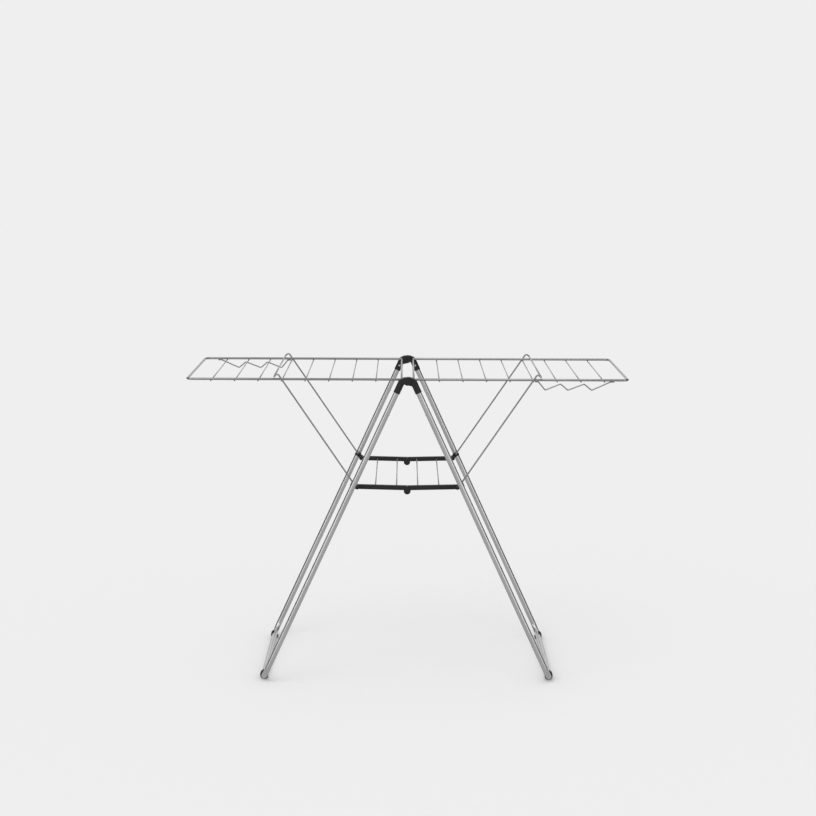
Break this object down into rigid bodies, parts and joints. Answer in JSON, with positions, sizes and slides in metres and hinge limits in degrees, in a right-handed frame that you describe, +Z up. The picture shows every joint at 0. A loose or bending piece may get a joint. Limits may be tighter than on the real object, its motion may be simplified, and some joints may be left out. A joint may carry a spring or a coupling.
{
  "type": "clothes drying rack",
  "caption": "Free-standing winged clothes drying rack: two hinged tube leg frames, two fold-down wire wings with braces, a hanger wire under each wing and a folding shelf.",
  "frame": {"origin": "on the floor under the middle of the open rack", "axes": "+X along the wings, +Y across the rack from its near side to its far side, +Z up"},
  "size_m": [1.3534, 0.5964, 0.9677],
  "materials": {
    "leg_paint": "silver-grey powder paint on steel tube, satin",
    "wire_paint": "grey powder paint on steel wire, satin",
    "black_plastic": "moulded black polyamide, fine texture",
    "rivet_steel": "zinc-plated steel",
    "foot_rubber": "matt black rubber"
  },
  "bodies": {
    "left_leg": {"left_leg_frame": "leg_paint", "near_left_connector": "black_plastic", "far_left_connector": "black_plastic", "near_hinge_pin": "rivet_steel", "left_sleeve_rivets": "rivet_steel", "left_spigot_rivets": "rivet_steel", "near_left_bracket": "black_plastic", "far_left_bracket": "black_plastic", "left_shelf_pins": "black_plastic", "near_left_foot_pad": "foot_rubber", "far_left_foot_pad": "foot_rubber"},
    "right_leg": {"right_leg_frame": "leg_paint", "near_right_connector": "black_plastic", "far_right_connector": "black_plastic", "far_hinge_pin": "rivet_steel", "right_sleeve_rivets": "rivet_steel", "right_spigot_rivets": "rivet_steel", "near_right_bracket": "black_plastic", "far_right_bracket": "black_plastic", "right_shelf_pins": "black_plastic", "near_right_foot_pad": "foot_rubber", "far_right_foot_pad": "foot_rubber"},
    "left_wing": {"left_wing_frame": "wire_paint", "left_wing_pivot_rod": "wire_paint", "left_wing_hanger_wire": "wire_paint", "left_wing_rung_1": "wire_paint", "left_wing_rung_2": "wire_paint", "left_wing_rung_3": "wire_paint", "left_wing_rung_4": "wire_paint", "left_wing_rung_5": "wire_paint", "left_wing_rung_6": "wire_paint", "left_wing_rung_7": "wire_paint", "left_wing_rung_8": "wire_paint"},
    "right_wing": {"right_wing_frame": "wire_paint", "right_wing_pivot_rod": "wire_paint", "right_wing_hanger_wire": "wire_paint", "right_wing_rung_1": "wire_paint", "right_wing_rung_2": "wire_paint", "right_wing_rung_3": "wire_paint", "right_wing_rung_4": "wire_paint", "right_wing_rung_5": "wire_paint", "right_wing_rung_6": "wire_paint", "right_wing_rung_7": "wire_paint", "right_wing_rung_8": "wire_paint"},
    "left_brace": {"near_left_brace_arm": "wire_paint", "far_left_brace_arm": "wire_paint", "left_brace_cross_rod": "wire_paint"},
    "right_brace": {"near_right_brace_arm": "wire_paint", "far_right_brace_arm": "wire_paint", "right_brace_cross_rod": "wire_paint"},
    "left_shelf": {"near_left_shelf_bar": "black_plastic", "far_left_shelf_bar": "black_plastic", "left_shelf_wire_1": "wire_paint", "left_shelf_wire_2": "wire_paint", "shelf_knuckle_pins": "black_plastic"},
    "right_shelf": {"near_right_shelf_bar": "black_plastic", "far_right_shelf_bar": "black_plastic", "right_shelf_wire_1": "wire_paint", "right_shelf_wire_2": "wire_paint"}
  },
  "joints": [
    {"name": "leg_fold", "type": "hinge", "parent": "left_leg", "child": "right_leg", "pos_m": [0, 0, 0.947], "axis": [0, 1, 0], "range_deg": [0, 46]},
    {"name": "shelf_left_fold", "type": "hinge", "parent": "left_leg", "child": "left_shelf", "pos_m": [-0.1536, 0, 0.617], "axis": [0, -1, 0], "range_deg": [0, 68.08]},
    {"name": "shelf_knuckle", "type": "hinge", "parent": "left_shelf", "child": "right_shelf", "pos_m": [0, 0, 0.603], "axis": [0, 1, 0], "range_deg": [0, 181.66]},
    {"name": "left_wing_fold", "type": "hinge", "parent": "left_leg", "child": "left_wing", "pos_m": [-0.0185, 0, 0.95], "axis": [0, -1, 0], "range_deg": [0, 65]},
    {"name": "right_wing_fold", "type": "hinge", "parent": "right_leg", "child": "right_wing", "pos_m": [0.0185, 0, 0.95], "axis": [0, 1, 0], "range_deg": [0, 65]},
    {"name": "left_brace_swing", "type": "hinge", "parent": "left_leg", "child": "left_brace", "pos_m": [-0.16407, 0, 0.627], "axis": [0, 1, 0], "range_deg": [0, 50]},
    {"name": "right_brace_swing", "type": "hinge", "parent": "right_leg", "child": "right_brace", "pos_m": [0.16407, 0, 0.627], "axis": [0, -1, 0], "range_deg": [0, 50]}
  ],
  "couplings": [
    {"joint": "shelf_left_fold", "follows": "leg_fold", "ratio": 1.4691},
    {"joint": "shelf_knuckle", "follows": "leg_fold", "ratio": 3.9382}
  ]
}
